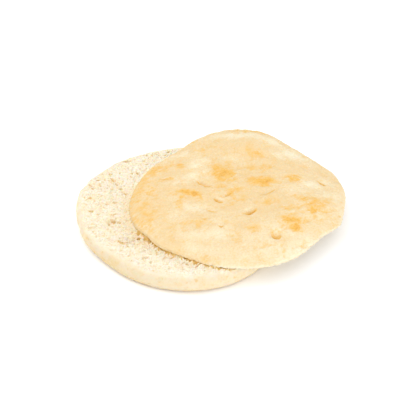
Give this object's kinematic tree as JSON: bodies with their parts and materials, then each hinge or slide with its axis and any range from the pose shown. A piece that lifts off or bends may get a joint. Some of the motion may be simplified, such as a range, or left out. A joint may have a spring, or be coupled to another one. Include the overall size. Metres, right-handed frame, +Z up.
{
  "type": "pita bread",
  "caption": "Round pita bread cut level into a thick lower half, crumb up, and a thin crusted top half that lies askew on it.",
  "frame": {"origin": "middle of the lower half's flat underside, where it rests on the table", "axes": "+Z up out of the bread, +X the way the top half was pushed aside"},
  "size_m": [0.1963, 0.173, 0.0273],
  "materials": {
    "wheat_crumb": "matt, open and torn cream-coloured crumb, with a pale straw crust round the side",
    "baked_crust": "matt baked crust, pale straw with golden brown blisters"
  },
  "bodies": {
    "root": {"lower_half": "wheat_crumb", "upper_half": "baked_crust"}
  },
  "joints": []
}
